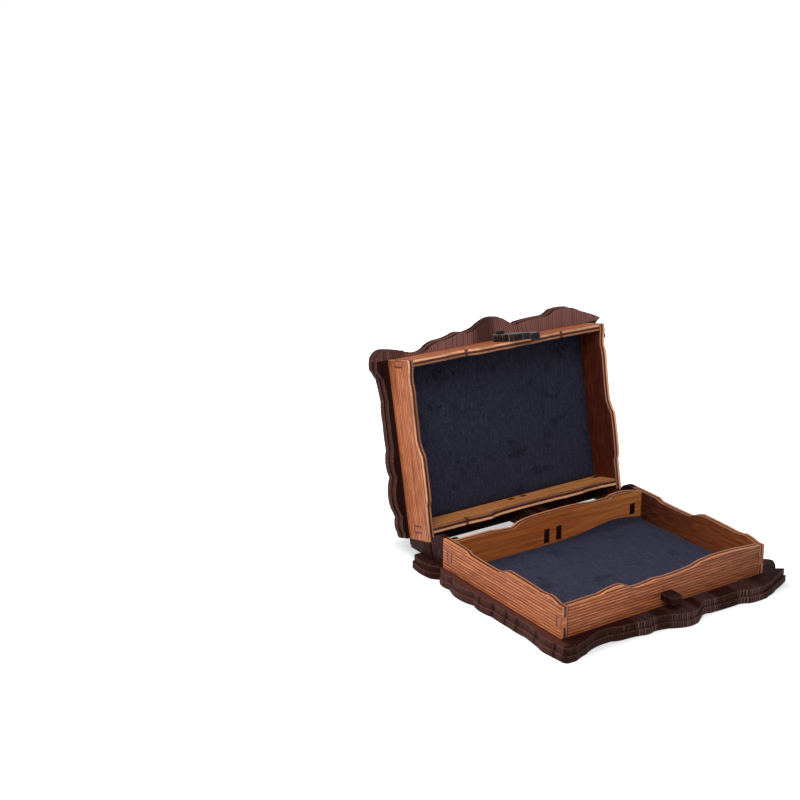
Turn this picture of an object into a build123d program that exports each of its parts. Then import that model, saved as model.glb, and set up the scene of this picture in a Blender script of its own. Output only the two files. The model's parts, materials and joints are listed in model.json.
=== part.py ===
from build123d import *
from math import cos, hypot, radians, sin
import os

os.makedirs("parts", exist_ok=True)

# A hinged plywood chest for dice: a shallow base tray and a lid tray, both lined
# with a fabric panel, between two ornate double-layer plates.
# X runs along the front wall, +Y is the back and Z = 0 is the surface it stands on.

# Box, mm
outer_width = 145.0        # across the side walls
side_length = 105.0        # front to rear end of the side walls
wall_ply = 4.0             # thickness of the walls, lugs, ears and arms
plate_ply = 4.0            # thickness of one plate layer
base_height = 17.5         # base walls, from the plate to the level part of the rim
lid_height = 20.5          # lid walls, from the level part of the rim to the plate
rear_inset = 4.4           # side walls run on past the rear wall by this
rim_gap = 0.3              # between the two rims when closed
tab_gap = 0.05             # round every tab in its slot
open_angle = 102.7         # from closed to the open stop

# Lining
lining_thick = 1.2
lining_gap = 0.5           # to the walls round it

# Hinge
hinge_back = 3.8           # pivot behind the side walls' rear ends
hinge_rise = 8.3           # pivot above the base plate
rod_radius = 1.5
rod_seat_gap = 0.02        # round the rod in the pieces that hold it
rod_run_gap = 0.06         # round the rod in the pieces that turn
knuckle_radius = 5.0       # arms, round the pivot
ear_radius = 5.5           # ears, round the pivot
lug_gap = 0.3              # between a lid arm and the lug beside it
lug_drop = 1.5             # centre of the base lugs' rounding above the pivot
stop_gap = 0.25            # under the lid lugs when the lid is open
ear_gap_outer = 0.7        # from an outer ear to the arm beside it
ear_gap_middle = 0.5       # from a middle ear to the arms beside it
arm_root = 12.0            # arms leave the lid's rear wall above the level part of the rim by this
arm_tab_high = 4.0         # height of their tabs, which end next to the lining
arm_tab_drop = 0.3         # from the lining to the tabs
ear_tab_low_middle = 1.5   # tabs of the ears, above the base plate
ear_tab_high_middle = 10.2
ear_tab_low_outer = 4.5
ear_tab_high_outer = 11.4

# Plates
foot_length = 23.5         # rear feet behind the side walls
foot_inner = 5.5           # their inner edge, inside the side walls' outer faces
strip_depth = 5.9          # rear strip of the lid plates behind the side walls
strip_inset = 4.5          # its ends, inside the side walls' outer faces
layer_step = 0.8           # an outer layer stands out past its inner one by this

# Engraved lines on the outer faces
line_pitch = 1.7
line_first = 1.2
line_width = 0.4
line_depth = 0.25

# Latch
peg_width = 8.0
peg_thick = 4.0
peg_reach = 9.0
peg_x = -0.5
peg_rise = 4.0             # underside of the peg above the base plate
pin_x = 0.5
pin_rise = 9.5             # pin above the level part of the rim
pin_radius = 1.5
pin_head_radius = 2.6
pin_head_thick = 1.2
hook_ply = 4.0
hook_gap = 0.3             # to the wall, the peg and the pin head
hook_head = 4.8
hook_arm = 3.8             # width beside the peg
hook_tip = 3.2             # height of the tip
hook_bite = 2.5            # how far the tip reaches under the peg
hook_swing = 8.0           # from hanging clear to engaged, degrees

# Waved rim, for each wall as (station, height, arch): the station runs from -1 to 1
# along the wall, the height is from the level part of the rim and the arch is the rise of the
# arc to the next point above its chord. Next to a corner a rim is level, so that the walls
# of the two trays pass each other there.
front_rim = [(-1.0, 0.0, 0.0), (-0.64, 0.3, 0.0), (-0.58, 1.3, 0.15), (-0.46, 2.1, 0.2),
             (-0.41, 1.2, 0.0), (-0.35, -0.8, -0.3), (-0.29, -1.9, -0.2), (-0.13, -0.9, 0.1),
             (-0.03, -1.5, -0.3), (0.27, -0.4, 0.0), (0.33, 0.9, 0.1), (0.37, 1.2, 0.3),
             (0.56, 1.9, 0.2), (0.80, 0.9, -0.2), (1.0, 0.0, 0.0)]
rear_rim = [(-1.0, 0.0, 0.0), (-0.60, -0.1, -0.2), (-0.39, -1.6, 0.0), (-0.33, 0.6, 0.3),
            (-0.21, 1.9, 0.2), (0.03, 2.3, 0.1), (0.22, 2.2, 0.2), (0.42, 0.8, 0.0),
            (0.59, 0.8, 0.0), (0.63, 2.0, 0.2), (0.76, 2.4, 0.3), (0.93, 0.0, 0.0),
            (1.0, 0.0, 0.0)]
side_rim = [(-1.0, 0.0, 0.0), (-0.92, 0.0, 0.4), (-0.74, 1.8, 0.1), (-0.72, 1.2, 0.1),
            (-0.64, 0.8, 0.2), (-0.11, 1.8, 0.2), (0.01, -0.5, -0.3), (0.08, -1.9, -0.2),
            (0.53, -1.8, -0.2), (0.60, -0.3, 0.1), (1.0, 0.0, 0.0)]

# Ornate outline. Edges as (station, overhang, lobe), corners as (dx, dy, lobe) from
# the walls' outer corner; a lobe is the height of the arc to the next point. The plates
# of the base and the lid differ only at their front left corners and at the back.
base_corner = [(-6.3, 5.9, 0.0), (-4.8, -8.0, 0.9), (-0.5, -10.1, 0.4), (4.0, -9.6, -0.2),
               (11.0, -7.5, -0.3), (19.1, -4.4, -0.4)]
lid_corner = [(-7.2, 7.0, 0.0), (-8.8, 4.6, 0.3), (-7.9, -2.0, 1.0), (-1.2, -6.4, 0.3),
              (9.8, -4.3, -0.1), (13.8, -3.4, 0.0), (14.6, -2.2, -0.2), (22.0, -1.2, -0.8)]
front_edge = [(-0.59, 3.9, 0.5), (-0.47, 6.1, -0.3), (-0.34, 7.6, 0.9), (-0.22, 7.7, -0.3),
              (-0.10, 9.5, 0.2), (0.0, 12.9, 1.0), (0.155, 12.9, 0.0), (0.24, 8.9, -1.1),
              (0.33, 8.3, 0.3), (0.62, 9.1, -0.3), (0.70, 11.6, 0.5)]
right_corner = [(-9.5, -12.0, 0.0), (-7.0, -10.9, 0.2), (-0.9, -9.1, 0.0), (1.5, -7.7, 0.2),
                (15.2, -2.4, 0.0), (11.0, 0.5, 0.6), (18.0, 9.0, 0.8)]
right_edge = [(-0.74, 14.0, 2.4), (-0.33, 13.0, -0.5), (-0.27, 14.5, 1.0), (-0.08, 14.0, -0.5),
              (0.0, 12.0, -0.5), (0.13, 14.5, 1.4), (0.32, 14.0, -0.5), (0.38, 12.4, 1.6),
              (0.68, 13.2, 1.6)]
left_edge = [(0.757, 3.8, 0.0), (0.65, 5.9, 1.5), (0.31, 4.3, 1.4), (0.0, 4.3, 0.2),
             (-0.31, 4.3, 0.4), (-0.54, 3.8, -0.1), (-0.80, 5.4, 0.2)]

# Places that follow from the sizes
half_w = outer_width / 2
half_l = side_length / 2
inner_w = half_w - wall_ply
front_in = -half_l + wall_ply
rear_out = half_l - rear_inset
rear_in = rear_out - wall_ply
base_floor = 2 * plate_ply
split = base_floor + base_height
lid_floor = split + lid_height
closed_top = lid_floor + 2 * plate_ply
pivot_y = half_l + hinge_back
pivot_z = base_floor + hinge_rise
base_third = base_height / 3
lid_third = lid_height / 3
arm_tab_top = lid_floor - lining_thick - arm_tab_drop
arm_tab_low = arm_tab_top - arm_tab_high


def block(x0, x1, y0, y1, z0, z1):
    """A box between its limits."""
    centre = Pos((x0 + x1) / 2, (y0 + y1) / 2, (z0 + z1) / 2)
    return centre * Box(x1 - x0, y1 - y0, z1 - z0)


def lobed(points):
    """The face inside lines and arcs; each arc bulges to the right of its travel."""
    edges = []
    for (x0, y0, lobe), (x1, y1, _) in zip(points, points[1:] + points[:1]):
        if lobe:
            span = hypot(x1 - x0, y1 - y0)
            middle = ((x0 + x1) / 2 + lobe * (y1 - y0) / span,
                      (y0 + y1) / 2 - lobe * (x1 - x0) / span)
            edges.append(ThreePointArc((x0, y0), middle, (x1, y1)))
        else:
            edges.append(Line((x0, y0), (x1, y1)))
    return Face(Wire(edges))


def along_x(face, x0, x1):
    """Extrude a face drawn in (Y, Z) from x0 to x1."""
    return Pos(x0, 0, 0) * extrude(Plane.YZ * face, x1 - x0, dir=(1, 0, 0))


def along_y(face, y0, y1):
    """Extrude a face drawn in (X, Z) from y0 to y1."""
    return Pos(0, y0, 0) * extrude(Plane.XZ * face, y1 - y0, dir=(0, 1, 0))


def pin(radius, x, y0, y1, z):
    """A cylinder along Y."""
    return Pos(x, (y0 + y1) / 2, z) * Rot(90, 0, 0) * Cylinder(radius, y1 - y0)


def rod(radius, x0, x1):
    """A cylinder along X on the hinge line."""
    return Pos((x0 + x1) / 2, pivot_y, pivot_z) * Rot(0, 90, 0) * Cylinder(radius, x1 - x0)


def panel(rim, half, end, gap):
    """A wall's face from its end height to the waved rim, which gap shifts up."""
    rows = [(station * half, split + height + gap, arch) for station, height, arch in rim]
    edges = []
    for (x0, z0, arch), (x1, z1, _) in zip(rows, rows[1:]):
        if arch:
            edges.append(ThreePointArc((x0, z0), ((x0 + x1) / 2, (z0 + z1) / 2 + arch), (x1, z1)))
        else:
            edges.append(Line((x0, z0), (x1, z1)))
    low, high = rows[0], rows[-1]
    edges.append(Line((high[0], high[1]), (high[0], end)))
    edges.append(Line((high[0], end), (low[0], end)))
    edges.append(Line((low[0], end), (low[0], low[1])))
    return Face(Wire(edges))


def engraved(wall, x0, x1, y0, y1, start, step, room):
    """Cut level lines into a wall, where the given ranges cross its outer face."""
    for count in range(int((room - line_first) / line_pitch) + 1):
        z = start + step * (line_first + count * line_pitch)
        wall -= block(x0, x1, y0, y1, z - line_width / 2, z + line_width / 2)
    return wall


def tray_walls(end, gap, third_low, third_high, step, room):
    """Front, rear, left and right wall of one tray."""
    limits = {"front": (-half_l, front_in), "rear": (rear_in, rear_out)}
    walls = {}
    for name, rim in (("front", front_rim), ("rear", rear_rim)):
        y0, y1 = limits[name]
        wall = along_y(panel(rim, half_w, end, gap), y0, y1)
        wall &= block(-inner_w, inner_w, y0, y1, 0, closed_top)
        wall += block(-half_w, -inner_w, y0, y1, third_low, third_high)
        wall += block(inner_w, half_w, y0, y1, third_low, third_high)
        walls[name] = wall
    for name, x0 in (("left", -half_w), ("right", inner_w)):
        wall = along_x(panel(side_rim, half_l, end, gap), x0, x0 + wall_ply)
        for y0, y1 in limits.values():
            wall -= block(x0, x0 + wall_ply, y0 - tab_gap, y1 + tab_gap,
                          third_low - tab_gap, third_high + tab_gap)
        walls[name] = wall
    face = -half_l + line_depth
    walls["front"] = engraved(walls["front"], -inner_w, inner_w, -half_l, face, end, step, room)
    cut = half_w - line_depth
    walls["left"] = engraved(walls["left"], -half_w, -cut, front_in, rear_in, end, step, room)
    walls["right"] = engraved(walls["right"], cut, half_w, front_in, rear_in, end, step, room)
    return walls


def plate(corner, rear, grow, z0):
    """One layer of a plate: the shared edges, with its own front left corner and rear points."""
    points = [(-half_w + dx - grow, -half_l + dy - grow, lobe) for dx, dy, lobe in corner]
    points += [(at * half_w, -half_l - over - grow, lobe) for at, over, lobe in front_edge]
    points += [(half_w + dx + grow, -half_l + dy - grow, lobe) for dx, dy, lobe in right_corner]
    points += [(half_w + over + grow, at * half_l, lobe) for at, over, lobe in right_edge]
    points += rear
    points += [(-half_w - over - grow, at * half_l, lobe) for at, over, lobe in left_edge]
    return Pos(0, 0, z0) * extrude(lobed(points), plate_ply, dir=(0, 0, 1))


def base_rear(grow):
    """Rear points of the base plates, from right to left, with the two feet."""
    foot_end = half_l + foot_length + grow
    inner = half_w - foot_inner - grow
    return [(half_w + 14.5 + grow, half_l - 3.0, 1.0), (half_w + 12.0 + grow, half_l + 4.5, 0.0),
            (half_w + 7.5 + grow, half_l + 4.5, -1.0), (half_w + 5.3 + grow, half_l + 8.0, 0.9),
            (half_w + 4.6 + grow, foot_end - 2.0, 0.6), (half_w + 2.5 + grow, foot_end, 0.0),
            (inner, foot_end, 0.0), (inner, half_l, 0.0),
            (-inner, half_l, 0.0), (-inner, foot_end, 0.0),
            (-half_w - 2.5 - grow, foot_end, 0.6), (-half_w - 4.6 - grow, foot_end - 2.0, 0.9),
            (-half_w - 4.8 - grow, half_l + 6.0, 0.6), (-half_w - 1.2, half_l + 1.0, 0.0),
            (-half_w - 3.6 - grow, half_l - 3.0, 1.0)]


def lid_rear(grow):
    """Rear points of the lid plates, from right to left, with the middle strip."""
    strip = half_w - strip_inset
    back = half_l + strip_depth
    return [(half_w + 14.5 + grow, half_l - 3.0, 0.5), (half_w + 13.0 + grow, half_l, 0.0),
            (strip, half_l, 0.0), (strip, back, 0.0), (-strip, back, 0.0), (-strip, half_l, 0.0),
            (-half_w - 2.8 - grow, half_l, 0.3), (-half_w - 3.6 - grow, half_l - 3.0, 1.0)]


def stop_line(z):
    """Rear limit, at a height of the closed lid, of what must clear the feet when open."""
    drop = pivot_z - base_floor - stop_gap
    angle = radians(open_angle)
    return pivot_y + (drop + (z - pivot_z) * cos(angle)) / sin(angle)


def ear(centre, tab_low, tab_high):
    """A base ear with its tab through the rear wall."""
    x0 = centre - wall_ply / 2
    x1 = centre + wall_ply / 2
    body = block(x0, x1, rear_out, pivot_y, pivot_z - ear_radius, pivot_z + ear_radius)
    body += rod(ear_radius, x0, x1)
    body += block(x0, x1, rear_in, rear_out, base_floor + tab_low, base_floor + tab_high)
    return body - rod(rod_radius + rod_seat_gap, x0, x1)


def arm(centre):
    """A lid arm, from its tab in the lid's rear wall down to its knuckle."""
    x0 = centre - wall_ply / 2
    x1 = centre + wall_ply / 2
    root = split + arm_root
    side = lobed([(rear_out, root, 0.0), (pivot_y - knuckle_radius, pivot_z, 0.0),
                  (pivot_y + knuckle_radius, pivot_z, 0.4),
                  (stop_line(lid_floor) - 0.4, lid_floor, 0.0), (rear_out, lid_floor, 0.0)])
    body = along_x(side, x0, x1) + rod(knuckle_radius, x0, x1)
    body += block(x0, x1, rear_in, rear_out, arm_tab_low, arm_tab_top)
    return body - rod(rod_radius + rod_run_gap, x0, x1)


def tab_slot(centre, low, high):
    """The slot of an ear or arm in a rear wall."""
    half = wall_ply / 2 + tab_gap
    return block(centre - half, centre + half, rear_in, rear_out, low - tab_gap, high + tab_gap)


def swung(piece):
    """Turn a piece of the closed lid to the open stop."""
    return (Pos(0, pivot_y, pivot_z) * Rot(-open_angle, 0, 0) * Pos(0, -pivot_y, -pivot_z)) * piece


nodes = {}

# Base plates, walls and lining
nodes["base_plate_lower"] = plate(base_corner, base_rear(layer_step), layer_step, 0)
nodes["base_plate_upper"] = plate(base_corner, base_rear(0), 0, plate_ply)
low_rim = min(height for _, height, _ in front_rim + side_rim)
base = tray_walls(base_floor, 0, base_floor + base_third, base_floor + 2 * base_third,
                  1, base_height + low_rim - line_width)
nodes["base_lining"] = block(-inner_w + lining_gap, inner_w - lining_gap, front_in + lining_gap,
                             rear_in - lining_gap, base_floor, base_floor + lining_thick)

# Base lugs, ears and the hinge rod
lug_round = base_height - hinge_rise - lug_drop
round_z = split - lug_round
lug_side = lobed([(half_l, base_floor, 0.0), (pivot_y + lug_round - 1.7, base_floor, 0.0),
                  (pivot_y + lug_round, round_z, lug_round * (1 - cos(radians(45)))),
                  (pivot_y, split, 0.0), (half_l, split, 0.0)])
arm_outer = inner_w - lug_gap - wall_ply / 2
ear_outer = arm_outer - wall_ply - ear_gap_outer
ear_middle = wall_ply + ear_gap_middle
ears = {"base_ear_left": (-ear_outer, ear_tab_low_outer, ear_tab_high_outer),
        "base_ear_right": (ear_outer, ear_tab_low_outer, ear_tab_high_outer),
        "base_ear_mid_left": (-ear_middle, ear_tab_low_middle, ear_tab_high_middle),
        "base_ear_mid_right": (ear_middle, ear_tab_low_middle, ear_tab_high_middle)}
for name, x0 in (("base_lug_left", -half_w), ("base_lug_right", inner_w)):
    lug = along_x(lug_side, x0, x0 + wall_ply)
    nodes[name] = lug - rod(rod_radius + rod_seat_gap, x0, x0 + wall_ply)
for name, (centre, low, high) in ears.items():
    nodes[name] = ear(centre, low, high)
    base["rear"] -= tab_slot(centre, base_floor + low, base_floor + high)
nodes["hinge_rod"] = rod(rod_radius, -half_w, half_w)

# Latch peg, through the front wall
peg_z = base_floor + peg_rise
peg = block(peg_x - peg_width / 2, peg_x + peg_width / 2, -half_l - peg_reach, front_in,
            peg_z, peg_z + peg_thick)
peg = fillet(peg.edges().filter_by(Axis.Z).group_by(Axis.Y)[0], 1.5)
nodes["latch_peg"] = peg
base["front"] -= block(peg_x - peg_width / 2 - tab_gap, peg_x + peg_width / 2 + tab_gap,
                       -half_l, front_in, peg_z - tab_gap, peg_z + peg_thick + tab_gap)
for name, wall in base.items():
    nodes["base_wall_" + name] = wall

# Lid, modelled closed
lid_nodes = {}
lid_nodes["lid_plate_inner"] = plate(lid_corner, lid_rear(-layer_step), -layer_step, lid_floor)
lid_nodes["lid_plate_outer"] = plate(lid_corner, lid_rear(0), 0, lid_floor + plate_ply)
high_rim = max(height for _, height, _ in front_rim + side_rim)
lid = tray_walls(lid_floor, rim_gap, split + lid_third, split + 2 * lid_third,
                 -1, lid_height - high_rim - rim_gap - line_width)
lid_nodes["lid_lining"] = block(-inner_w + lining_gap, inner_w - lining_gap, front_in + lining_gap,
                                rear_in - lining_gap, lid_floor - lining_thick, lid_floor)
lug_low = split + rim_gap
lid_lug = lobed([(half_l, lug_low, 0.0), (stop_line(lug_low), lug_low, 0.0),
                 (stop_line(lid_floor), lid_floor, 0.0), (half_l, lid_floor, 0.0)])
lid_nodes["lid_lug_left"] = along_x(lid_lug, -half_w, -inner_w)
lid_nodes["lid_lug_right"] = along_x(lid_lug, inner_w, half_w)
arm_middle = ear_middle + wall_ply + ear_gap_middle
arms = {"lid_arm_left": -arm_outer, "lid_arm_right": arm_outer,
        "lid_arm_mid_left": 0.0, "lid_arm_mid_right": arm_middle}
for name, centre in arms.items():
    lid_nodes[name] = arm(centre)
    lid["rear"] -= tab_slot(centre, arm_tab_low, arm_tab_top)

# Latch pin in the lid's front wall
pin_z = split + pin_rise
hook_back = -half_l - hook_gap
hook_front = hook_back - hook_ply
head_y = hook_front - hook_gap
lid["front"] -= pin(pin_radius + rod_seat_gap, pin_x, -half_l, front_in, pin_z)
lid_nodes["latch_pin"] = (pin(pin_radius, pin_x, head_y, front_in, pin_z)
                          + pin(pin_head_radius, pin_x, head_y - pin_head_thick, head_y, pin_z))
for name, wall in lid.items():
    lid_nodes["lid_wall_" + name] = wall

# Hook, drawn engaged round its pin at (0, 0) and then turned clear of the peg
throat = peg_x + peg_width / 2 + hook_gap - pin_x
spine = throat + hook_arm
tip_top = peg_z - hook_gap - pin_z
tip_low = tip_top - hook_tip
over_peg = peg_z + peg_thick + hook_gap - pin_z
tip_end = throat - hook_gap - hook_bite
tip_round = hook_tip / 2
shank = lobed([(-3.2, 0.0, 0.0), (-1.8, over_peg + 3.0, -0.6), (throat, over_peg, 0.0),
               (throat, tip_top, 0.0), (tip_end + tip_round, tip_top, tip_round),
               (tip_end + tip_round, tip_low, 0.0), (spine - 2.0, tip_low, 0.8),
               (spine, tip_low + 2.0, 0.0), (spine, over_peg, 0.0), (4.2, 0.0, 0.0)])
hook = Circle(hook_head) + shank
for x, z, radius in ((5.0, -6.4, 2.0), (spine - 1.6, -11.2, 2.2), (-2.6, -5.6, 1.8), (-1.6, -10.2, 1.8)):
    hook += Pos(x, z, 0) * Circle(radius)
hook -= Circle(pin_radius + rod_run_gap)
hook = along_y(hook, hook_back, hook_front)
lid_nodes["latch_hook"] = Pos(pin_x, 0, pin_z) * Rot(0, -hook_swing, 0) * hook

for name, piece in lid_nodes.items():
    nodes[name] = swung(piece)

for name, piece in nodes.items():
    piece.label = name
    export_step(piece, "parts/" + name + ".step")
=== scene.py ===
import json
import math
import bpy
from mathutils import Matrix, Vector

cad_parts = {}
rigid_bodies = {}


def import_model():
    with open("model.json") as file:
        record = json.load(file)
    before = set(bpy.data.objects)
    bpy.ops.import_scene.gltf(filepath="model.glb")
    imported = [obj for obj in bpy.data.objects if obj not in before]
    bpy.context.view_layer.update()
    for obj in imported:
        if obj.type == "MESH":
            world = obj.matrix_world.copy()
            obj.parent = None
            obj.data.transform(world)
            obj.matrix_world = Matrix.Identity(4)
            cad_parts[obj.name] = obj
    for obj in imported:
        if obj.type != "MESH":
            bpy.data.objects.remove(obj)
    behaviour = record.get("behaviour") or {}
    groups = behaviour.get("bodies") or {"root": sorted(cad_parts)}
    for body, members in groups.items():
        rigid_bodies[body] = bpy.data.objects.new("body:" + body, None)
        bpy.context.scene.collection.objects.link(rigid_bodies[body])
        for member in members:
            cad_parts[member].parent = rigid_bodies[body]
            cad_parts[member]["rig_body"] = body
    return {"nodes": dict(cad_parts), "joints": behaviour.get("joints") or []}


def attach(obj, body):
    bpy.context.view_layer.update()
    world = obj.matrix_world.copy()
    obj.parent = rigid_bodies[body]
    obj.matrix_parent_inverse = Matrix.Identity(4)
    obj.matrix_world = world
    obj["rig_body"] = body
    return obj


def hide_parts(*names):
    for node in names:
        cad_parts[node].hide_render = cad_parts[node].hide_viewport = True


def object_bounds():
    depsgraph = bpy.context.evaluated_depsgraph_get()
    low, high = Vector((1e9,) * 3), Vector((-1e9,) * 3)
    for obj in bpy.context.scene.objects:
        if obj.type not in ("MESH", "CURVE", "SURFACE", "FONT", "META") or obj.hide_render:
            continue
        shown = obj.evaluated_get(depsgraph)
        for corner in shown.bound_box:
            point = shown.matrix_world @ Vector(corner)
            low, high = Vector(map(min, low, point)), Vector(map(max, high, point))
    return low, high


bl_info = {
    "name": "Dice chest finish",
    "version": (1, 0, 0),
    "blender": (4, 5, 0),
    "location": "3D View > Sidebar > Dice Chest",
    "description": "Finishes a hinged plywood dice chest with oil, dark stain and velvet",
    "category": "Object",
}

import bpy
from mathutils import Euler, Matrix, Vector

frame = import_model()
cad_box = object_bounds()

NODES = frame["nodes"]
HINGE = next(joint for joint in frame["joints"] if joint["name"] == "lid_hinge")
PIVOT = Vector(HINGE["pos_m"])
CLOSING = Matrix.Rotation(math.radians(HINGE["range_deg"][1]), 3, Vector(HINGE["axis"]))
MM = 0.001

# Places in the closed chest, in mm, as its drawing gives them
HALF_WIDTH = 72.5
HALF_LENGTH = 52.5
WALL_PLY = 4.0
REAR_WALL = (44.1, 48.1)
BASE_FLOOR = 8.0
RIM = 25.5
LID_FLOOR = 46.0
BASE_JOINT = (13.83, 19.67)
LID_JOINT = (32.33, 39.17)
OUTSIDE = 100.0

# Burnt steps in the lid's rims, along X, and half the width of one
RIM_STEPS = {"lid_wall_front": (39.9, -30.6), "lid_wall_rear": (-44.9,)}
STEP = 1.1
# Creases between the lobes of the base's left edges, along Y, painted as lines of shade
CREASES = (37.5, 9.9, -0.7, -12.3, -21.9, -38.2, -54.4)
# Stretches of the base's comb that were scraped pale, along X
SCRAPED = ((-27, -14), (-6, 11), (17, 30), (44, 61))
# Soot and painted shade on the lid's overhang, along X, and how thick it lies
SOOT_AND_SHADE = ((-72, -62, 0.6), (-9, 3, 0.75))
# The left overhang, which takes painted light from the left, along X and Y
LEFT_OVERHANG = (-OUTSIDE, -73, -60, 52)

# Cells of a velvet panel's mesh, about 1.5 mm wide
VELVET_CELLS = (90, 60)

# Sizes and places in the scene, in m, and the camera's turn, in degrees
LAMPS = {"key": (0.7, (-0.80, 0.60, 0.90)), "overhead": (0.9, (-0.62, -0.57, 1.15))}
LAMP_AIM = (0, 0.02, 0.04)
FLOOR_SIZE = 12
FLOOR_PLACE = (0, 0, -0.05 * MM)
CAMERA_PLACE = (-0.5198, -0.5817, 0.3650)
CAMERA_DOWN = 18.36
CAMERA_RIGHT = 33.40

# Colours that more than one part of a material takes
BURNT = "#34130a"
PALE_SCRAPE = "#6b5350"

WALLS = [name for name in NODES if "_wall_" in name]
PLATES = [name for name in NODES if "_plate_" in name]
LININGS = [name for name in NODES if name.endswith("_lining")]
LUGS = [name for name in NODES if "_lug_" in name]
KNUCKLES = [name for name in NODES if "_ear_" in name or "_arm_" in name]
LATCH = ["latch_peg", "latch_hook"]
DOWELS = ["hinge_rod", "latch_pin"]


def linear(code):
    """Turn an sRGB hex colour into the linear values that shaders use."""
    parts = [int(code[i:i + 2], 16) / 255 for i in (1, 3, 5)]
    return [p / 12.92 if p <= 0.04045 else ((p + 0.055) / 1.055) ** 2.4 for p in parts] + [1.0]


# ------------------------------------------------------------------ settings


class ChestWood(bpy.types.PropertyGroup):
    """Colours and measures of the oiled walls and the stained plates"""

    oiled: bpy.props.FloatVectorProperty(
        name="Oiled face", description="Outer face of the walls between the engraved lines",
        subtype="COLOR", size=4, default=linear("#b6643a"))
    oiled_inner: bpy.props.FloatVectorProperty(
        name="Oiled inner face", description="Smooth inner face of the other walls",
        subtype="COLOR", size=4, default=linear("#b0622c"))
    # darker than the other inner faces, partly the wood's tone and partly painted shade of the
    # open lid
    oiled_side: bpy.props.FloatVectorProperty(
        name="Oiled side wall, inside", description="Smooth inner face of the base's side walls",
        subtype="COLOR", size=4, default=linear("#763812"))
    # painted shade: the lid's side walls are darkened inside for the shade within the open lid
    oiled_shade: bpy.props.FloatVectorProperty(
        name="Oiled lid side, inside", description="Smooth inner face of the lid's side walls",
        subtype="COLOR", size=4, default=linear("#4b1305"))
    # painted light: the lid's rear wall is paler inside for the light that falls on it
    oiled_lit: bpy.props.FloatVectorProperty(
        name="Oiled lid rear, inside", description="Smooth inner face of the lid's rear wall",
        subtype="COLOR", size=4, default=linear("#cf8950"))
    scorched: bpy.props.FloatVectorProperty(
        name="Scorched line", description="Engraved level lines of the walls",
        subtype="COLOR", size=4, default=linear("#3d160a"))
    stained: bpy.props.FloatVectorProperty(
        name="Stained face", description="Plates, hinge pieces, rod, pin and peg",
        subtype="COLOR", size=4, default=linear("#2b1513"))
    latch: bpy.props.FloatVectorProperty(
        name="Hook stain", description="The hook, which is nearly black",
        subtype="COLOR", size=4, default=linear("#0f0607"))
    line_pitch: bpy.props.FloatProperty(
        name="Line pitch", description="Distance between the engraved lines",
        unit="LENGTH", default=1.7 * MM, min=0.5 * MM)
    comb_pitch: bpy.props.FloatProperty(
        name="Comb pitch", description="Distance between the lines across the front overhang",
        unit="LENGTH", default=1.5 * MM, min=0.5 * MM)
    eased: bpy.props.FloatProperty(
        name="Eased edge", description="Width by which the dark pieces' edges are eased",
        unit="LENGTH", default=0.2 * MM, min=0.0)


class ChestVelvet(bpy.types.PropertyGroup):
    """Colour and pile of the velvet linings"""

    pile: bpy.props.FloatVectorProperty(
        name="Pile", description="Velvet seen along its pile",
        subtype="COLOR", size=4, default=linear("#212130"))
    # also the colour of the painted shade along the panel's border
    pressed_and_shaded: bpy.props.FloatVectorProperty(
        name="Pressed pile", description="Patches where the pile lies the other way",
        subtype="COLOR", size=4, default=linear("#10101a"))
    thickness: bpy.props.FloatProperty(
        name="Thickness", description="Backing and pile together",
        unit="LENGTH", default=1.1 * MM, min=0.2 * MM)
    round_edge: bpy.props.FloatProperty(
        name="Rounded edge", description="How far the pile falls away at the panel's edge",
        unit="LENGTH", default=0.6 * MM, min=0.0)
    rides_up: bpy.props.FloatProperty(
        name="Rides up", description="How far the base's panel rides up the rear wall",
        unit="LENGTH", default=4.2 * MM, min=0.0)
    ride_middle: bpy.props.FloatProperty(
        name="Ride middle", description="Where along the rear wall it rides up most",
        unit="LENGTH", default=46 * MM)
    ride_width: bpy.props.FloatProperty(
        name="Ride width", description="How far to each side of that it falls off",
        unit="LENGTH", default=22 * MM, min=1 * MM)
    ride_reach: bpy.props.FloatProperty(
        name="Ride reach", description="Width of the strip along the wall that rides up",
        unit="LENGTH", default=4.5 * MM, min=1 * MM)
    ripple: bpy.props.FloatProperty(
        name="Ripple", description="Height of the slow waves in the pile",
        unit="LENGTH", default=0.08 * MM, min=0.0)


class ChestStage(bpy.types.PropertyGroup):
    """Camera and light"""

    lens: bpy.props.FloatProperty(
        name="Lens", description="Focal length of the view", unit="CAMERA", default=67.5)
    key: bpy.props.FloatProperty(
        name="Key light", description="Power of the light behind and to the left",
        unit="POWER", default=13.0)
    overhead: bpy.props.FloatProperty(
        name="Overhead light", description="Power of the large light above the front",
        unit="POWER", default=16.0)
    even: bpy.props.FloatProperty(
        name="Even light", description="Strength of the light from all round", default=0.45)


# ------------------------------------------------------------------- helpers


def laid(node_name):
    """Turn, shift and half thickness that lay a sheet flat.

    Laid flat, a sheet has X along its grain and Z through its thickness, from its middle. Its
    X and Y are the closed chest's X and Y for plates, X and Z for front and rear walls, and Y
    and Z for side walls. Z runs to the chest's +Z, its front and its right side.
    """
    turn = Matrix.Identity(3)
    shift = Vector((0, 0, 0))
    if NODES[node_name]["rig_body"] != "base":
        turn = CLOSING.copy()
        shift = PIVOT - turn @ PIVOT
    lay = Matrix.Identity(3)
    if any(word in node_name for word in ("_front", "_rear", "hook")):
        lay = Matrix(((1, 0, 0), (0, 0, 1), (0, -1, 0)))
    elif any(word in node_name for word in ("_wall_", "_lug_", "_ear_", "_arm_", "_pin")):
        lay = Matrix(((0, 1, 0), (0, 0, 1), (1, 0, 0)))
    turn, shift = lay @ turn, lay @ shift
    depth = [(turn @ v.co + shift).z for v in NODES[node_name].data.vertices]
    shift.z -= (min(depth) + max(depth)) / 2
    return turn, shift, (max(depth) - min(depth)) / 2


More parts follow.
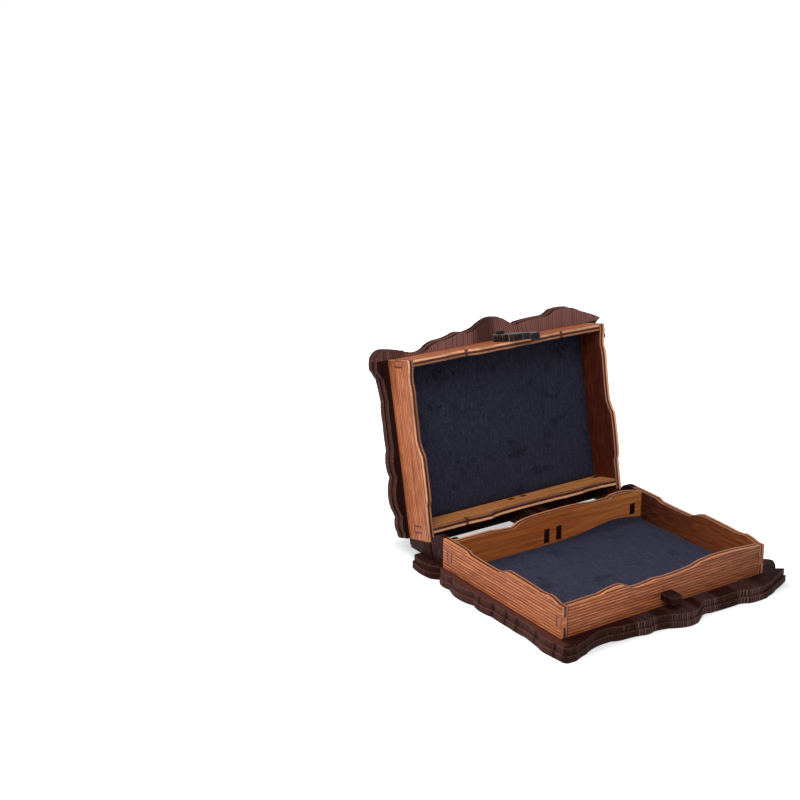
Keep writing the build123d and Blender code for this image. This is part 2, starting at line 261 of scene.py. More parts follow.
def add(tree, kind, *values, stops=(), **settings):
    """Add a shader node and return its first open output.

    Settings are the node's own, and stops are a ramp's places and colours. Values and links
    fill its open inputs in order, or by name where they come as a dictionary.
    """
    node = tree.nodes.new("ShaderNode" + kind)
    for key, value in settings.items():
        setattr(node, key, value)
    if stops:
        marks = node.color_ramp.elements
        marks.remove(marks[1])
        marks[0].position, marks[0].color = stops[0]
        for place, colour in stops[1:]:
            marks.new(place).color = colour
    inputs = zip([socket for socket in node.inputs if socket.enabled], values)
    if values and isinstance(values[0], dict):
        inputs = [(node.inputs[key], value) for key, value in values[0].items()]
    for socket, value in inputs:
        if isinstance(value, bpy.types.NodeSocket):
            tree.links.new(value, socket)
        else:
            socket.default_value = value
    return next((socket for socket in node.outputs if socket.enabled), None)


def new_material(name):
    """An empty node material and its tree."""
    material = bpy.data.materials.new(name)
    material.use_nodes = True
    material.node_tree.nodes.clear()
    return material, material.node_tree


def only(piece=None):
    """Select one piece alone, or nothing, so that an operator acts on nothing else."""
    if bpy.context.object and bpy.context.object.mode != "OBJECT":
        bpy.ops.object.mode_set(mode="OBJECT")
    bpy.ops.object.select_all(action="DESELECT")
    if piece:
        piece.select_set(True)
        bpy.context.view_layer.objects.active = piece


def dress(piece, material):
    """Give a piece its one material."""
    piece.data.materials.clear()
    piece.data.materials.append(material)


def eased_copy(node_name):
    """A copy of a dark piece that stands for it, welded, with its edges eased."""
    source = NODES[node_name]
    piece = bpy.data.objects.new("stained_" + node_name, source.data.copy())
    bpy.context.scene.collection.objects.link(piece)
    only(piece)
    bpy.ops.object.mode_set(mode="EDIT")
    bpy.ops.mesh.select_all(action="SELECT")
    bpy.ops.mesh.remove_doubles(threshold=1e-6)
    bpy.ops.mesh.dissolve_limited(angle_limit=math.radians(0.5))
    bpy.ops.object.mode_set(mode="OBJECT")
    bevel = piece.modifiers.new("Eased edges", "BEVEL")
    bevel.width = bpy.context.scene.chest_wood.eased
    bevel.segments = 2
    bevel.limit_method = "ANGLE"
    bevel.angle_limit = math.radians(50)
    bpy.ops.object.modifier_apply(modifier=bevel.name)
    bpy.ops.object.shade_smooth_by_angle(angle=math.radians(30))
    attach(piece, source["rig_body"])
    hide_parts(node_name)
    return piece


def stain(names):
    """Ease and stain dark pieces."""
    for name in names:
        dress(eased_copy(name), stained_ply(name))
    return {"FINISHED"}


def pile_height(velvet, x, y, box, rides):
    """Height of the velvet above its plate, in m, at a place on a panel with this box."""
    x0, x1, y0, y1 = box
    rim = min(x - x0, x1 - x, y - y0, y1 - y)
    # the pile falls away over the last 3 mm, and its waves fade out over the last 6 mm
    fall = max(0.0, 1 - rim / 0.003) ** 2 * velvet.round_edge
    wave = math.sin(x * 190 + 1.7 * math.sin(y * 120)) * math.sin(y * 150 + 0.6)
    wave *= velvet.ripple * min(1.0, rim / 0.006)
    height = velvet.thickness - velvet.ripple - fall + wave
    if rides:
        near = max(0.0, 1 - (y1 - y) / velvet.ride_reach)
        along = (x - velvet.ride_middle) / velvet.ride_width
        height += velvet.rides_up * near ** 1.5 * math.exp(-along ** 2)
    return height


# ----------------------------------------------------------------- materials


def flat_place(tree, node_name):
    """Place in mm, its axes and the facing of a piece laid flat, from its object coordinates."""
    turn, shift, half = laid(node_name)
    place = add(tree, "TexCoord").node.outputs
    angles = turn.to_euler("XYZ")
    spot = add(tree, "Mapping", {"Vector": place["Object"], "Location": shift / MM,
                                 "Rotation": angles, "Scale": (1 / MM, 1 / MM, 1 / MM)})
    facing = add(tree, "Mapping", {"Vector": place["Normal"], "Rotation": angles},
                 vector_type="VECTOR")
    way = add(tree, "SeparateXYZ", facing).node.outputs["Z"]
    return spot, add(tree, "SeparateXYZ", spot).node.outputs, way, half / MM


def to_box(tree, xyz, x0, x1, y0, y1):
    """Signed distance in mm to the outline of a box on the sheet, below 0 inside it."""
    gaps = []
    for axis, low, high in (("X", x0, x1), ("Y", y0, y1)):
        off = add(tree, "Math", xyz[axis], (low + high) / 2, operation="SUBTRACT")
        off = add(tree, "Math", off, operation="ABSOLUTE")
        gaps.append(add(tree, "Math", off, (high - low) / 2, operation="SUBTRACT"))
    return add(tree, "Math", *gaps, operation="MAXIMUM")


def grain(tree, spot, seed, length, width, detail, bend=0.0):
    """Wood grain: noise drawn out to streaks of a length and width in mm."""
    drawn = add(tree, "Mapping", {"Vector": spot, "Location": (seed, seed * 0.7, 0.0),
                                  "Scale": (1 / length, 1 / width, 1 / width)})
    return add(tree, "TexNoise", {"Vector": drawn, "Scale": 1.0, "Detail": detail,
                                  "Roughness": 0.62, "Distortion": bend})


def row_of_lines(tree, along, first, pitch):
    """Number of the nearest of some even lines, and the distance to it in pitches."""
    turns = add(tree, "Math", along, first, operation="SUBTRACT")
    turns = add(tree, "Math", turns, pitch / MM, operation="DIVIDE")
    mark = add(tree, "Math", turns, operation="ROUND")
    off = add(tree, "Math", turns, mark, operation="SUBTRACT")
    return mark, add(tree, "Math", off, operation="ABSOLUTE")


def oiled_ply(node_name):
    """Material of one wall."""
    # Birch plywood, laser engraved and rubbed with an orange-brown oil. The oil gives a soft
    # sheen over a long grain. The laser leaves dark level lines outside and scorched outlines
    # round the finger joints, and the edges show a dark core between pale veneers.
    wood = bpy.context.scene.chest_wood
    material, tree = new_material("Oiled birch ply " + node_name)
    spot, xyz, facing, half = flat_place(tree, node_name)
    in_lid = node_name.startswith("lid")
    on_side = node_name.endswith(("left", "right"))
    outward = 1.0 if node_name.endswith(("front", "right")) else -1.0
    seed = float(sum(ord(c) for c in node_name) % 97)
    # figure streaks 2 mm wide and 50 mm long; fibres 0.35 mm wide and 9 mm long
    figure = grain(tree, spot, seed, 50.0, 2.0, 6.0, 0.4)
    fibres = grain(tree, spot, seed * 1.3, 9.0, 0.35, 3.0)
    outside = add(tree, "Math", facing, outward, operation="MULTIPLY")
    outside = add(tree, "Math", outside, 0.0, operation="GREATER_THAN")
    # the lid's rear wall takes the painted light colour, and its side walls the painted shade
    # colour
    inner = wood.oiled_lit if node_name == "lid_wall_rear" else wood.oiled_inner
    if on_side and in_lid:
        inner = wood.oiled_shade
    elif on_side:
        # deeper and redder towards the rear, partly the wood's tone and partly painted shade of
        # the lid
        shade_to_rear = add(tree, "MapRange", xyz["X"], -45.0, 40.0, 0.0, 1.0)
        inner = add(tree, "Mix", shade_to_rear, wood.oiled_side, linear("#380b02"), data_type="RGBA")
    elif node_name == "base_wall_rear":
        # a little paler towards its right end
        pale = add(tree, "MapRange", xyz["X"], 10.0, 60.0, 0.0, 0.5)
        inner = add(tree, "Mix", pale, inner, linear("#d68c50"), data_type="RGBA")
    tone = add(tree, "Mix", outside, inner, wood.oiled, data_type="RGBA")
    shades = add(tree, "ValToRGB", figure, stops=(
        (0.28, linear("#9a8c82")), (0.45, linear("#d8d0c8")), (0.60, linear("#f4f2ee")),
        (0.74, linear("#fffdf5"))))
    face = add(tree, "Mix", 1.0, tone, shades, data_type="RGBA", blend_type="MULTIPLY")
    if node_name == "base_wall_front":
        # painted shade, darker towards its right end where the light falls off
        painted_falloff_shade = add(tree, "MapRange", xyz["X"], -30.0, HALF_WIDTH, 0.0, 0.5)
        face = add(tree, "Mix", painted_falloff_shade, face, linear("#4a1c0c"), data_type="RGBA")
    # the fibres stand out on the rough outer faces and are faint on the smooth inner ones
    rough = add(tree, "MapRange", outside, 0.0, 1.0, 0.25, 1.0)
    pale = add(tree, "MapRange", fibres, 0.50, 0.72, 0.0, 0.6)
    pale = add(tree, "Math", pale, rough, operation="MULTIPLY")
    face = add(tree, "Mix", pale, face, linear("#de9b6c"), data_type="RGBA")
    dark = add(tree, "MapRange", fibres, 0.30, 0.46, 0.85 if in_lid else 0.75, 0.0)
    dark = add(tree, "Math", dark, rough, operation="MULTIPLY")
    face = add(tree, "Mix", dark, face, linear("#4d210d"), data_type="RGBA")
    # engraved level lines, 1.7 mm apart from 1.2 mm off the plate, each about 0.5 mm wide
    if not node_name.endswith("rear"):
        plate, up = (LID_FLOOR, -1.0) if in_lid else (BASE_FLOOR, 1.0)
        off = row_of_lines(tree, xyz["Y"], plate + up * 1.2, wood.line_pitch)[1]
        line = add(tree, "MapRange", off, 0.11, 0.26, 1.0, 0.0)
        line = add(tree, "Math", line, outside, operation="MULTIPLY")
        if not on_side:
            across = add(tree, "Math", xyz["X"], operation="ABSOLUTE")
            body = add(tree, "Math", across, HALF_WIDTH - WALL_PLY, operation="LESS_THAN")
            line = add(tree, "Math", line, body, operation="MULTIPLY")
        uneven = add(tree, "MapRange", fibres, 0.3, 0.7, 1.0, 0.7)
        line = add(tree, "Math", line, uneven, operation="MULTIPLY")
        face = add(tree, "Mix", line, face, wood.scorched, data_type="RGBA")
    # scorched outlines of the finger joints, about 0.4 mm each side of the cut
    low, high = LID_JOINT if in_lid else BASE_JOINT
    cuts = [(-OUTSIDE, WALL_PLY - HALF_LENGTH, low, high), (*REAR_WALL, low, high)]
    if not on_side:
        cuts = [(WALL_PLY - HALF_WIDTH, HALF_WIDTH - WALL_PLY, -OUTSIDE, OUTSIDE)]
    for cut in cuts:
        near = add(tree, "Math", to_box(tree, xyz, *cut), operation="ABSOLUTE")
        burn = add(tree, "MapRange", near, 0.2, 0.55, 0.85, 0.0)
        burn = add(tree, "Math", burn, outside, operation="MULTIPLY")
        face = add(tree, "Mix", burn, face, linear(BURNT), data_type="RGBA")
    # edge, from the inner face out: grey-tan veneer, scorched core, pale orange veneer
    through = add(tree, "Math", xyz["Z"], outward / (2 * half), 0.5, operation="MULTIPLY_ADD")
    ragged = add(tree, "MapRange", fibres, 0.2, 0.8, -0.05, 0.05)
    through = add(tree, "Math", through, ragged, operation="ADD")
    # the lid's veneer is paler than the base's: painted light on its rims
    pale_veneer = "#e3a67c" if in_lid else "#bd7a4e"
    edge = add(tree, "ValToRGB", through, stops=(
        (0.02, linear("#2c130b")), (0.07, linear("#8a5c42")), (0.24, linear("#a87354")),
        (0.31, linear("#3a150a")), (0.60, linear("#46190c")), (0.68, linear(pale_veneer)),
        (0.92, linear(pale_veneer)), (1.0, linear("#7d4426"))))
    soot = add(tree, "MapRange", figure, 0.35, 0.6, 0.5, 0.0)
    edge = add(tree, "Mix", soot, edge, linear("#4f2413"), data_type="RGBA")
    if not on_side:
        # end grain of the tabs, with a burnt border
        across = add(tree, "Math", xyz["X"], operation="ABSOLUTE")
        tab_end = add(tree, "Math", across, HALF_WIDTH - 0.1, operation="GREATER_THAN")
        rim = add(tree, "Math", xyz["Z"], operation="ABSOLUTE")
        rim = add(tree, "MapRange", rim, half - 0.7, half - 0.3, 0.0, 1.0)
        end_grain = add(tree, "Mix", rim, linear("#8a4c36"), linear(BURNT), data_type="RGBA")
        edge = add(tree, "Mix", tab_end, edge, end_grain, data_type="RGBA")
    tilt = add(tree, "Math", facing, operation="ABSOLUTE")
    on_edge = add(tree, "Math", tilt, 0.5, operation="LESS_THAN")
    colour = add(tree, "Mix", on_edge, face, edge, data_type="RGBA")
    # the burnt steps reach 3.2 mm into the lid's walls from the level part of the rim
    for x in RIM_STEPS.get(node_name, ()):
        step = to_box(tree, xyz, x - STEP, x + STEP, 0.0, RIM + 3.2)
        burn = add(tree, "MapRange", step, -0.3, 0.2, 0.85, 0.0)
        colour = add(tree, "Mix", burn, colour, linear("#3c170c"), data_type="RGBA")
    sheen = add(tree, "MapRange", figure, 0.3, 0.7, 0.6, 0.42)
    relief = add(tree, "Bump", {"Height": fibres, "Strength": 0.35, "Distance": 0.2 * MM})
    surface = add(tree, "BsdfPrincipled", {"Base Color": colour, "Roughness": sheen, "IOR": 1.5,
                                           "Specular IOR Level": 0.3, "Normal": relief})
    add(tree, "OutputMaterial", surface)
    return material


def stained_ply(node_name):
    """Material of one dark piece."""
    # Birch plywood with a thin purple-brown stain that lets the grain show. A comb of engraved
    # lines runs across the plates' front overhang, and cut edges are charred, with pale
    # strokes through the thickness and a fine line between the veneers.
    wood = bpy.context.scene.chest_wood
    material, tree = new_material("Stained birch ply " + node_name)
    spot, xyz, facing, half = flat_place(tree, node_name)
    in_lid = node_name.startswith("lid")
    on_hook = node_name == "latch_hook"
    seed = float(sum(ord(c) for c in node_name) % 89)
    # figure streaks 1.6 mm wide and 35 mm long; fibres 0.4 mm wide and 6 mm long
    figure = grain(tree, spot, seed, 35.0, 1.6, 6.0, 0.3)
    fibres = grain(tree, spot, seed * 1.3, 6.0, 0.4, 3.0)
    shades = add(tree, "ValToRGB", figure, stops=(
        (0.3, linear("#9a908c")), (0.5, linear("#e2dcd8")), (0.7, linear("#ffffff"))))
    tone = wood.latch if on_hook else wood.stained
    face = add(tree, "Mix", 1.0, tone, shades, data_type="RGBA", blend_type="MULTIPLY")
    pale = add(tree, "MapRange", fibres, 0.54, 0.75, 0.0, 0.4)
    face = add(tree, "Mix", pale, face, linear("#5a372f"), data_type="RGBA")
    through = add(tree, "Math", xyz["Z"], 0.5 / half, 0.5, operation="MULTIPLY_ADD")
    # the lighter ends at the arrises are a painted highlight on the veneers
    edge = add(tree, "ValToRGB", through, stops=(
        (0.0, linear("#4e2b21")), (0.08, linear("#30160e")), (0.30, linear("#28120c")),
        (0.35, linear("#0f0605")), (0.40, linear("#260f0b")), (0.60, linear("#260f0b")),
        (0.65, linear("#0f0605")), (0.70, linear("#28120c")), (0.90, linear("#30160e")),
        (1.0, linear("#5c3d36"))))
    if on_hook:
        # its flat faces are painted grey, a painted highlight
        edge = add(tree, "Mix", 0.8, edge, tone, data_type="RGBA")
        face = add(tree, "Mix", 0.5, face, linear("#77706c"), data_type="RGBA")
    # char and pale strokes through the thickness of the cut, 1 to 3 mm wide
    around = add(tree, "Mapping", {"Vector": spot, "Scale": (0.55, 0.55, 0.08)})
    char = add(tree, "TexNoise", {"Vector": around, "Scale": 1.0, "Detail": 4.0,
                                  "Roughness": 0.68})
    soot = add(tree, "MapRange", char, 0.36, 0.52, 0.65, 0.0)
    edge = add(tree, "Mix", soot, edge, linear("#100604"), data_type="RGBA")
    # on the hook the pale strokes are painted highlights; on the other pieces they are the cut's
    # own marks
    first = 0.55 if on_hook else 0.58
    strokes_and_glints = add(tree, "MapRange", char, first, first + 0.12, 0.0, 0.45 if on_hook else 0.6)
    edge = add(tree, "Mix", strokes_and_glints, edge, linear("#8c8480" if on_hook else "#6b4137"),
               data_type="RGBA")
    height = fibres
    tilt = add(tree, "Math", facing, operation="ABSOLUTE")
    on_edge = add(tree, "Math", tilt, 0.6, operation="LESS_THAN")
    if "_plate_" in node_name:
        # comb: lines 1.5 mm apart with uneven burn, leaning a little with the lobes
        beyond = add(tree, "Math", -HALF_LENGTH, xyz["Y"], operation="SUBTRACT")
        lean = add(tree, "Math", xyz["X"], 0.085, operation="MULTIPLY")
        lean = add(tree, "Math", lean, operation="SINE")
        lean = add(tree, "Math", lean, 0.16, operation="MULTIPLY")
        place = add(tree, "Math", lean, beyond, xyz["X"], operation="MULTIPLY_ADD")
        mark, off = row_of_lines(tree, place, 0.0, wood.comb_pitch)
        burn = add(tree, "TexWhiteNoise", mark, noise_dimensions="1D")
        burn = add(tree, "MapRange", burn, 0.0, 1.0, 0.35, 1.0)
        line = add(tree, "MapRange", off, 0.12, 0.34, 1.0, 0.0)
        line = add(tree, "Math", line, burn, operation="MULTIPLY")
        # only the faces towards the walls are engraved, and the edges
        inward = add(tree, "Math", facing, -1.0 if in_lid else 1.0, operation="MULTIPLY")
        inward = add(tree, "Math", inward, 0.6, operation="GREATER_THAN")
        engraved = add(tree, "Math", beyond, 0.1, operation="GREATER_THAN")
        comb = add(tree, "Math", line, engraved, operation="MULTIPLY")
        shown = add(tree, "Math", inward, on_edge, operation="MAXIMUM")
        comb = add(tree, "Math", comb, shown, operation="MULTIPLY")
        # painted light on the lid's front overhang, where light falls from the front, and
        # painted shade on the base's, under its front wall
        overhang_light_and_shade = add(tree, "MapRange", beyond, 0.0, 0.3, 0.0, 0.85 if in_lid else 0.5)
        overhang_light_and_shade = add(tree, "Math", overhang_light_and_shade, inward, operation="MULTIPLY")
        face = add(tree, "Mix", overhang_light_and_shade, face, linear("#855a55" if in_lid else "#280904"),
                   data_type="RGBA")
        dark = add(tree, "Math", comb, 0.8, operation="MULTIPLY")
        face = add(tree, "Mix", dark, face, linear("#2b1816" if in_lid else "#0f0808"),
                   data_type="RGBA")
        bright = add(tree, "Math", comb, 0.15, operation="MULTIPLY")
        edge = add(tree, "Mix", bright, edge, linear("#5f443e"), data_type="RGBA")
        # left of the walls the lid's face is darkened with painted shade
        if in_lid:
            painted_left_shade = add(tree, "MapRange", xyz["X"], -74.0, -72.0, 0.55, 0.0)
            face = add(tree, "Mix", painted_left_shade, face, linear("#100302"), data_type="RGBA")
        # soot and painted shade on the lid's overhang, at its left end and left of the hook's
        # pin
        for low, high, thick in SOOT_AND_SHADE if in_lid else ():
            soot_and_shade = to_box(tree, xyz, low, high, -OUTSIDE, 0)
            soot_and_shade = add(tree, "MapRange", soot_and_shade, -2.0, 5.0, thick, 0.0)
            face = add(tree, "Mix", soot_and_shade, face, linear("#2a120c"), data_type="RGBA")
        # painted light from the left on the base's face and on the edges
        left = to_box(tree, xyz, *LEFT_OVERHANG)
        lit_from_left = add(tree, "MapRange", left, -1.0, 0.5, 0.0 if in_lid else 0.75, 0.0)
        lit_from_left = add(tree, "Math", lit_from_left, inward, operation="MULTIPLY")
        face = add(tree, "Mix", lit_from_left, face, linear("#4b2a23"), data_type="RGBA")
        lit_from_left = add(tree, "MapRange", left, -1.0, 0.5, 0.12, 0.0)
        edge = add(tree, "Mix", lit_from_left, edge, linear("#7a524a"), data_type="RGBA")
        # each crease is a painted line of shade, with a softer painted shade 2.5 mm to each side
        for y in () if in_lid else CREASES:
            crease = to_box(tree, xyz, -OUTSIDE, -60, y - 0.2, y + 0.2)
            shade = add(tree, "MapRange", crease, 0.0, 2.5, 0.6, 0.0)
            edge = add(tree, "Mix", shade, edge, linear("#1c0a06"), data_type="RGBA")
            core = add(tree, "MapRange", crease, 0.0, 0.8, 0.9, 0.0)
            edge = add(tree, "Mix", core, edge, linear("#080202"), data_type="RGBA")
        for low, high in () if in_lid else SCRAPED:
            bare = to_box(tree, xyz, low, high, -OUTSIDE, 0)
            bare = add(tree, "MapRange", bare, -1.0, 1.0, 0.7, 0.0)
            bare = add(tree, "Math", bare, comb, operation="MULTIPLY")
            edge = add(tree, "Mix", bare, edge, linear(PALE_SCRAPE), data_type="RGBA")
            bare = add(tree, "Math", bare, 0.6, operation="MULTIPLY")
            face = add(tree, "Mix", bare, face, linear(PALE_SCRAPE), data_type="RGBA")
        height = add(tree, "Math", comb, -1.5, fibres, operation="MULTIPLY_ADD")
    colour = add(tree, "Mix", on_edge, face, edge, data_type="RGBA")
    sheen = add(tree, "MapRange", figure, 0.3, 0.7, 0.62, 0.42)
    relief = add(tree, "Bump", {"Height": height, "Strength": 0.5, "Distance": 0.2 * MM})
    surface = add(tree, "BsdfPrincipled", {"Base Color": colour, "Roughness": sheen, "IOR": 1.5,
                                           "Specular IOR Level": 0.2 if on_hook else 0.05,
                                           "Normal": relief})
    add(tree, "OutputMaterial", surface)
    return material


def stained_dowel(node_name):
    """Material of the rod or the pin."""
    # Birch dowel under the same stain: fine grain along it, with a soft sheen.
    wood = bpy.context.scene.chest_wood
    material, tree = new_material("Stained birch dowel " + node_name)
    spot = flat_place(tree, node_name)[0]
    # fibres 0.3 mm wide and 8 mm long
    fibres = grain(tree, spot, 3.0, 8.0, 0.3, 4.0)
    shades = add(tree, "ValToRGB", fibres, stops=(
        (0.3, linear("#6e6560")), (0.6, linear("#d0c8c4")), (0.8, linear("#ffffff"))))
    face = add(tree, "Mix", 1.0, wood.stained, shades, data_type="RGBA", blend_type="MULTIPLY")
    sheen = add(tree, "MapRange", fibres, 0.3, 0.7, 0.6, 0.45)
    relief = add(tree, "Bump", {"Height": fibres, "Strength": 0.3, "Distance": 0.1 * MM})
    surface = add(tree, "BsdfPrincipled", {"Base Color": face, "Roughness": sheen, "IOR": 1.5,
                                           "Specular IOR Level": 0.2, "Normal": relief})
    add(tree, "OutputMaterial", surface)
    return material


def short_pile_velvet(node_name):
    """Material of one lining."""
    # Polyester velvet with a short dense pile, cut to size and glued down. The pile gives a
    # pale sheen at grazing angles, fine streaks along the nap and a few darker patches where
    # it was flattened. Painted shade darkens its border along the walls.
    velvet = bpy.context.scene.chest_velvet
    material, tree = new_material("Short-pile velvet " + node_name)
    spot, xyz = flat_place(tree, node_name)[:2]
    seed = float(sum(ord(c) for c in node_name) % 83)
    # flattened patches 8 to 20 mm across, and painted shade in a border 7 mm wide along the
    # walls
    patches = grain(tree, spot, seed, 16.0, 11.0, 4.0, 0.6)
    pressed_and_shaded = add(tree, "MapRange", patches, 0.34, 0.44, 0.85, 0.0)
    border = to_box(tree, xyz, WALL_PLY - HALF_WIDTH, HALF_WIDTH - WALL_PLY,
                    WALL_PLY - HALF_LENGTH, REAR_WALL[0])
    border = add(tree, "MapRange", border, -7.0, -0.5, 0.0, 0.7)
    pressed_and_shaded = add(tree, "Math", pressed_and_shaded, border, operation="MAXIMUM")
    colour = add(tree, "Mix", pressed_and_shaded, velvet.pile, velvet.pressed_and_shaded, data_type="RGBA")
    # nap: streaks 0.5 mm wide and 5 mm long, drawn coarser than 0.1 mm fibres so as to show
    nap_place = add(tree, "Mapping", {"Vector": spot, "Scale": (1.7, 0.2, 1.0)})
    nap = add(tree, "TexNoise", {"Vector": nap_place, "Scale": 1.0, "Detail": 4.0,
                                 "Roughness": 0.72})
    raised = add(tree, "MapRange", nap, 0.52, 0.75, 0.0, 0.6)
    colour = add(tree, "Mix", raised, colour, linear("#414155"), data_type="RGBA")
    sunk = add(tree, "MapRange", nap, 0.28, 0.45, 0.6, 0.0)
    colour = add(tree, "Mix", sunk, colour, linear("#11101b"), data_type="RGBA")
    # single tufts that catch the light, 0.6 mm across
    tufts = add(tree, "TexNoise", {"Vector": spot, "Scale": 1.3, "Detail": 2.0,
                                   "Roughness": 0.6})
    caught = add(tree, "MapRange", tufts, 0.60, 0.72, 0.0, 0.5)
    colour = add(tree, "Mix", caught, colour, linear("#4b4c60"), data_type="RGBA")
    relief = add(tree, "Bump", {"Height": nap, "Strength": 0.5, "Distance": 0.3 * MM})
    surface = add(tree, "BsdfPrincipled", {
        "Base Color": colour, "Roughness": 0.9, "IOR": 1.45, "Specular IOR Level": 0.15,
        "Sheen Weight": 0.25, "Sheen Roughness": 0.45, "Sheen Tint": linear("#8a8cae"),
        "Normal": relief})
    add(tree, "OutputMaterial", surface)
    return material


def matt_card():
    """Material of the floor."""
    # Matt white card: the camera sees it lit up a little from 4 mm beyond the chest and more
    # towards 400 mm, so that it is white far off and keeps the soft dark shadow near by.
    material, tree = new_material("Matt white card")
    card = add(tree, "BsdfDiffuse", linear("#e7e7e7"))
    place = add(tree, "TexCoord").node.outputs["Object"]
    xyz = add(tree, "SeparateXYZ", place).node.outputs
    (x0, y0, _), (x1, y1, _) = cad_box
    far = to_box(tree, xyz, x0, x1, y0, y1)
    lift = add(tree, "MapRange", far, -0.010, 0.004, 0.0, 0.5)
    wide = add(tree, "MapRange", far, 0.004, 0.40, 0.0, 0.16)
    lift = add(tree, "Math", lift, wide, operation="ADD")
    seen = add(tree, "LightPath").node.outputs["Is Camera Ray"]
    lift = add(tree, "Math", seen, lift, operation="MULTIPLY")
    glow = add(tree, "Emission", {"Strength": lift})
    add(tree, "OutputMaterial", add(tree, "AddShader", card, glow))
    return material


# ----------------------------------------------------------------- operators


class CHEST_OT_walls(bpy.types.Operator):
    """Oil the walls and show the laser's lines and cut edges"""

    bl_idname = "chest.walls"
    bl_label = "Oil the walls"

    def execute(self, context):
        for name in WALLS:
            dress(NODES[name], oiled_ply(name))
        return {"FINISHED"}


class CHEST_OT_plates(bpy.types.Operator):
    """Ease and stain the four layers of the ornate plates"""

    bl_idname = "chest.plates"
    bl_label = "Stain the plates"

    def execute(self, context):
        return stain(PLATES)


class CHEST_OT_lugs(bpy.types.Operator):
    """Ease and stain the rounded lugs behind the side walls"""

    bl_idname = "chest.lugs"
    bl_label = "Stain the lugs"

    def execute(self, context):
        return stain(LUGS)


class CHEST_OT_knuckles(bpy.types.Operator):
    """Ease and stain the ears and arms that turn on the rod"""

    bl_idname = "chest.knuckles"
    bl_label = "Stain the ears and arms"

    def execute(self, context):
        return stain(KNUCKLES)


class CHEST_OT_latch(bpy.types.Operator):
    """Ease and stain the hook and its peg"""

    bl_idname = "chest.latch"
    bl_label = "Stain the latch"

    def execute(self, context):
        return stain(LATCH)


class CHEST_OT_dowels(bpy.types.Operator):
    """Stain the hinge rod and the latch pin"""

    bl_idname = "chest.dowels"
    bl_label = "Stain the rod and pin"

    def execute(self, context):
        for name in DOWELS:
            dress(NODES[name], stained_dowel(name))
        return {"FINISHED"}


class CHEST_OT_velvet(bpy.types.Operator):
    """Lay a velvet panel in the base and in the lid"""

    bl_idname = "chest.velvet"
    bl_label = "Lay the velvet"

    def execute(self, context):
        velvet = context.scene.chest_velvet
        for name in LININGS:
            turn, shift, half = laid(name)
            spots = [turn @ v.co + shift for v in NODES[name].data.vertices]
            x0, x1 = min(p.x for p in spots), max(p.x for p in spots)
            y0, y1 = min(p.y for p in spots), max(p.y for p in spots)
            box = (x0, x1, y0, y1)
            upward = 1.0 if name.startswith("base") else -1.0
            only()
            bpy.ops.mesh.primitive_grid_add(x_subdivisions=VELVET_CELLS[0],
                                            y_subdivisions=VELVET_CELLS[1], size=1)
            piece = context.active_object
            piece.name = piece.data.name = name.replace("lining", "velvet")
            bpy.ops.object.mode_set(mode="EDIT")
            bpy.ops.mesh.select_all(action="SELECT")
            bpy.ops.mesh.extrude_region_move(TRANSFORM_OT_translate={"value": (0, 0, -1)})
            bpy.ops.object.mode_set(mode="OBJECT")
            for vertex in piece.data.vertices:
                x = x0 + (vertex.co.x + 0.5) * (x1 - x0)
                y = y0 + (vertex.co.y + 0.5) * (y1 - y0)
                # the underside stays flat, just clear of the plate
                level = 0.02 * MM
                if vertex.co.z > -0.5:
                    level = pile_height(velvet, x, y, box, rides=name == "base_lining")
                level -= half
                vertex.co = turn.inverted() @ (Vector((x, y, upward * level)) - shift)
            only(piece)
            bpy.ops.object.mode_set(mode="EDIT")
            bpy.ops.mesh.select_all(action="SELECT")
            bpy.ops.mesh.normals_make_consistent(inside=False)
            bpy.ops.object.mode_set(mode="OBJECT")
            bpy.ops.object.shade_smooth_by_angle(angle=math.radians(50))
            dress(piece, short_pile_velvet(name))
            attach(piece, NODES[name]["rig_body"])
            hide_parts(name)
        return {"FINISHED"}


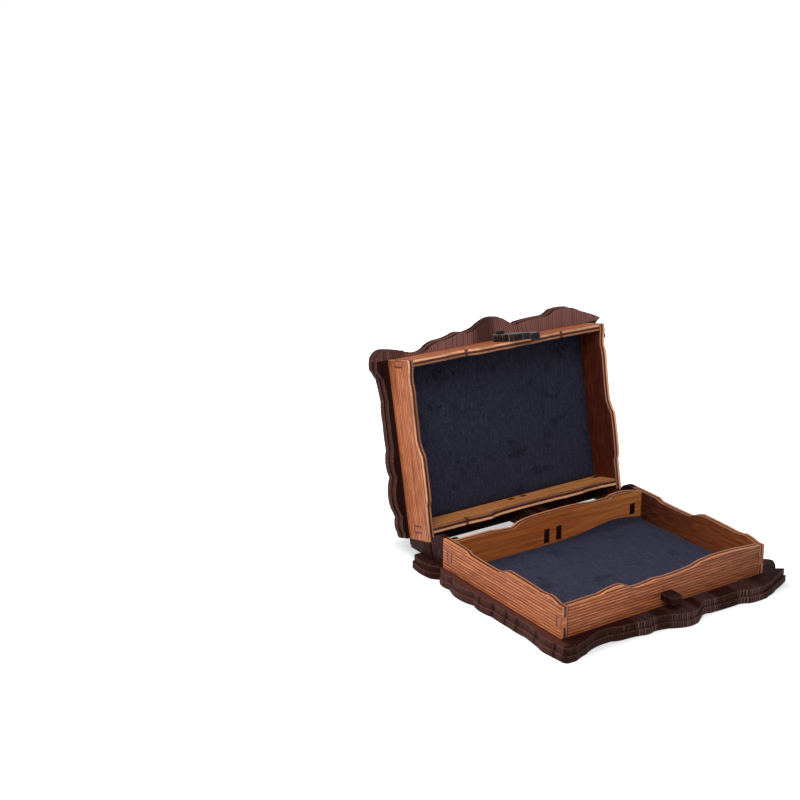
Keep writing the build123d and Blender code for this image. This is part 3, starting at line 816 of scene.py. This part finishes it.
class CHEST_OT_stage(bpy.types.Operator):
    """Set the floor, the soft light and the camera"""

    bl_idname = "chest.stage"
    bl_label = "Set the stage"

    def execute(self, context):
        settings = context.scene.chest_stage
        scene = context.scene
        scene.view_settings.view_transform = "Standard"
        only()
        bpy.ops.mesh.primitive_plane_add(size=FLOOR_SIZE, location=FLOOR_PLACE)
        floor = context.active_object
        floor.name = "floor"
        dress(floor, matt_card())
        world = bpy.data.worlds.new("Even white room")
        scene.world = world
        world.use_nodes = True
        tree = world.node_tree
        tree.nodes.clear()
        seen = add(tree, "LightPath").node.outputs["Is Camera Ray"]
        strength = add(tree, "MapRange", seen, 0.0, 1.0, settings.even, 1.0)
        light = add(tree, "Background", (1, 1, 1, 1), strength)
        add(tree, "OutputWorld", light)
        for name, (size, place) in LAMPS.items():
            lamp = bpy.data.lights.new(name, "AREA")
            lamp.energy = getattr(settings, name)
            lamp.size = size
            holder = bpy.data.objects.new(name, lamp)
            scene.collection.objects.link(holder)
            holder.location = place
            aim = Vector(LAMP_AIM) - Vector(place)
            holder.rotation_euler = aim.to_track_quat("-Z", "Y").to_euler()
        camera = bpy.data.cameras.new("view")
        camera.lens = settings.lens
        camera.sensor_width = 36
        camera.clip_start = 0.01
        holder = bpy.data.objects.new("view", camera)
        scene.collection.objects.link(holder)
        holder.location = CAMERA_PLACE
        holder.rotation_euler = Euler((math.radians(90 - CAMERA_DOWN), 0,
                                       -math.radians(CAMERA_RIGHT)))
        scene.camera = holder
        return {"FINISHED"}


class CHEST_PT_panel(bpy.types.Panel):
    """Lists the steps that finish the chest"""

    bl_label = "Dice Chest"
    bl_idname = "CHEST_PT_panel"
    bl_space_type = "VIEW_3D"
    bl_region_type = "UI"
    bl_category = "Dice Chest"

    def draw(self, context):
        for step in STEPS:
            self.layout.operator(step.bl_idname)


STEPS = (CHEST_OT_walls, CHEST_OT_plates, CHEST_OT_lugs, CHEST_OT_knuckles, CHEST_OT_latch,
         CHEST_OT_dowels, CHEST_OT_velvet, CHEST_OT_stage)
SETTINGS = {"chest_wood": ChestWood, "chest_velvet": ChestVelvet, "chest_stage": ChestStage}
CLASSES = tuple(SETTINGS.values()) + STEPS + (CHEST_PT_panel,)


def register():
    for cls in CLASSES:
        bpy.utils.register_class(cls)
    for name, group in SETTINGS.items():
        setattr(bpy.types.Scene, name, bpy.props.PointerProperty(type=group))


def unregister():
    for name in SETTINGS:
        delattr(bpy.types.Scene, name)
    for cls in reversed(CLASSES):
        bpy.utils.unregister_class(cls)


def main():
    register()
    for step in STEPS:
        getattr(bpy.ops.chest, step.bl_idname.split(".")[1])()


if __name__ == "__main__":
    main()
